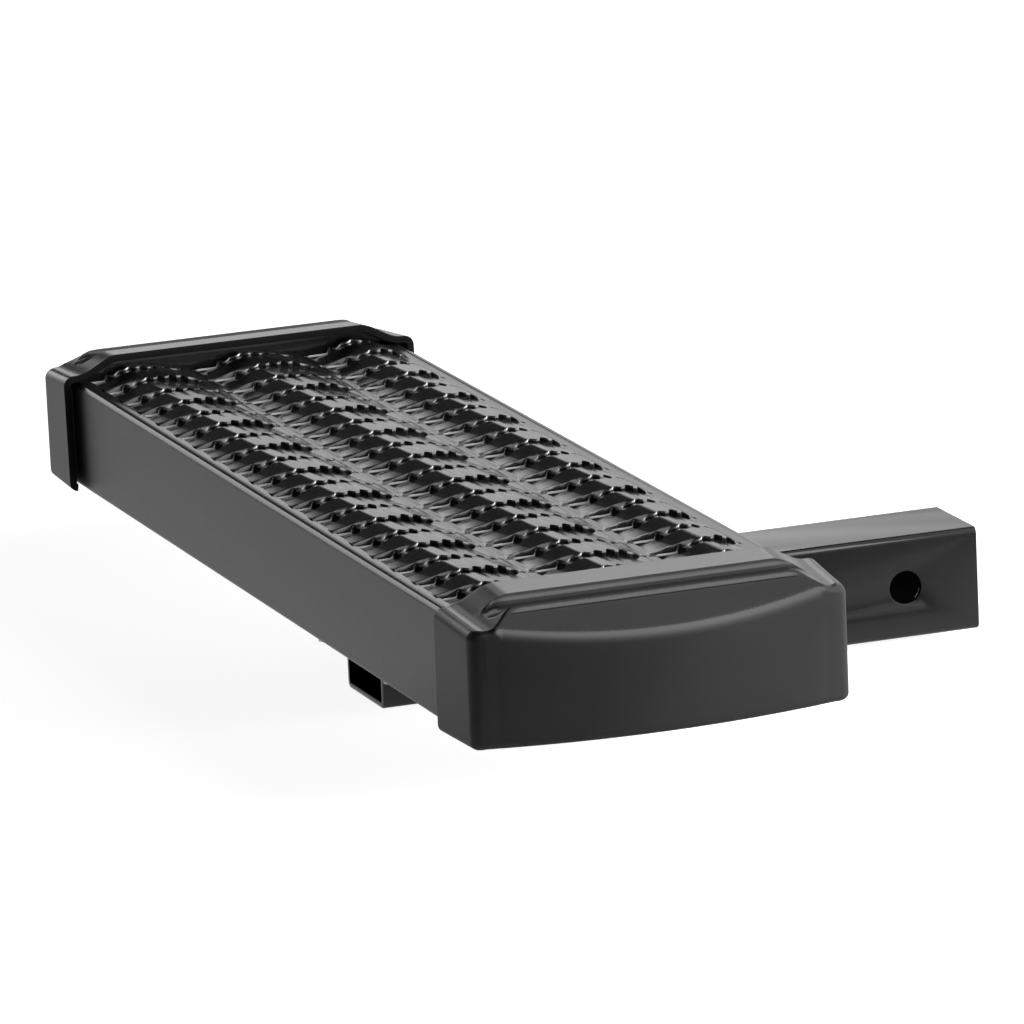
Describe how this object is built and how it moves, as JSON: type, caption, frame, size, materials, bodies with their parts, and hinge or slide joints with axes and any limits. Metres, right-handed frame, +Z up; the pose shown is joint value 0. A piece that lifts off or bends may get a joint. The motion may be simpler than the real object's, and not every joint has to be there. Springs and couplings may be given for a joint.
{
  "type": "hitch receiver step",
  "caption": "Flat step plank with a serrated grip tread and moulded end caps, carried off-centre on a square tube that slides into a tow hitch receiver and is held by a cross pin.",
  "frame": {"origin": "middle of the hitch pin hole, on the axis of the receiver tube", "axes": "+X along the tube towards the vehicle, +Y along the plank and along the pin hole, +Z up"},
  "size_m": [0.3258, 0.6634, 0.0897],
  "materials": {
    "coated_sheet": "satin black powder coat",
    "coated_steel": "satin black powder coat",
    "cap_plastic": "fine grained black moulding",
    "zinc_steel": "bright zinc plate"
  },
  "bodies": {
    "root": {"tread_plank": "coated_sheet", "receiver_tube": "coated_steel", "bracket_near": "coated_steel", "bracket_far": "coated_steel", "weld_beads": "coated_steel", "bracket_bolts": "zinc_steel", "bracket_nuts": "zinc_steel", "end_cap_near": "cap_plastic", "end_cap_far": "cap_plastic"}
  },
  "joints": []
}
